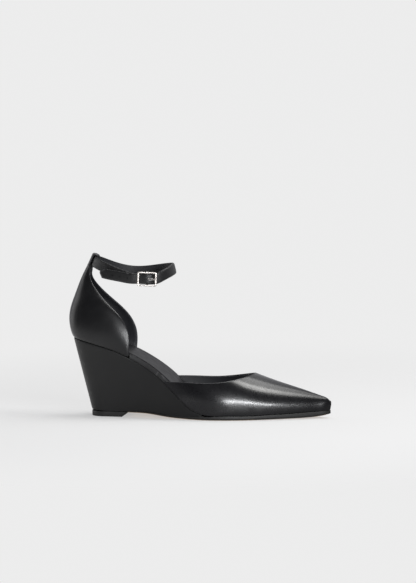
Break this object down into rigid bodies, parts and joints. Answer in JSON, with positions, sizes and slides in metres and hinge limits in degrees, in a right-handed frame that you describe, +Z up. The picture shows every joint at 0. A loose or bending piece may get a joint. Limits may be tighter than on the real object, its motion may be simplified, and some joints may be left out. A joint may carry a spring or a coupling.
{
  "type": "wedge shoe with ankle strap",
  "caption": "Black leather pointed-toe wedge shoe with open sides and a buckled ankle strap, right foot.",
  "frame": {"origin": "centre of the underside of the heel top piece, on the ground", "axes": "+X towards the toe, +Z up, +Y to the inner (medial) side of the right foot"},
  "size_m": [0.235, 0.0749, 0.1455],
  "materials": {
    "black_leather": "smooth semi-gloss calf, near black",
    "wedge_leather": "satin black wrap",
    "lining_leather": "fine black lining",
    "sock_leather": "glossy black sock",
    "sole": "black edged sole with tan underside",
    "top_piece": "matt black",
    "core": "black moulded core",
    "board": "dark fibre board",
    "foam": "thin foam",
    "filler": "felt filler",
    "stiffener": "thermoplastic stiffener",
    "steel": "plain steel",
    "buckle": "pale polished metal"
  },
  "bodies": {
    "root": {"outsole": "sole", "heel_top_piece": "top_piece", "top_piece_pins": "steel", "wedge_core": "core", "wedge_cover": "wedge_leather", "insole_board": "board", "steel_shank": "steel", "shank_rivets": "steel", "heel_screw": "steel", "heel_nails": "steel", "insole_wrap": "wedge_leather", "sock_foam": "foam", "sock_lining": "sock_leather", "bottom_filler": "filler", "vamp_upper": "black_leather", "vamp_lining": "lining_leather", "toe_puff": "stiffener", "heel_quarter": "black_leather", "quarter_lining": "lining_leather", "heel_counter": "stiffener", "strap_carrier": "black_leather"},
    "ankle_strap": {"ankle_strap": "black_leather", "ankle_strap_lining": "lining_leather"},
    "buckle": {"buckle_frame": "buckle", "buckle_bar": "buckle"},
    "prong": {"buckle_prong": "buckle"}
  },
  "joints": [
    {"name": "ankle_strap_tilt", "type": "hinge", "parent": "root", "child": "ankle_strap", "pos_m": [-0.015, 0, 0.1388], "axis": [0, -1, 0], "range_deg": [-8, 8]},
    {"name": "buckle_rock", "type": "hinge", "parent": "ankle_strap", "child": "buckle", "pos_m": [0.0384, -0.0276, 0.1251], "axis": [0.0348, 0.003, 0.9994], "range_deg": [-2, 2]},
    {"name": "prong_lift", "type": "hinge", "parent": "buckle", "child": "prong", "pos_m": [0.0384, -0.0276, 0.1251], "axis": [0.0348, 0.003, 0.9994], "range_deg": [-12, 0]}
  ]
}
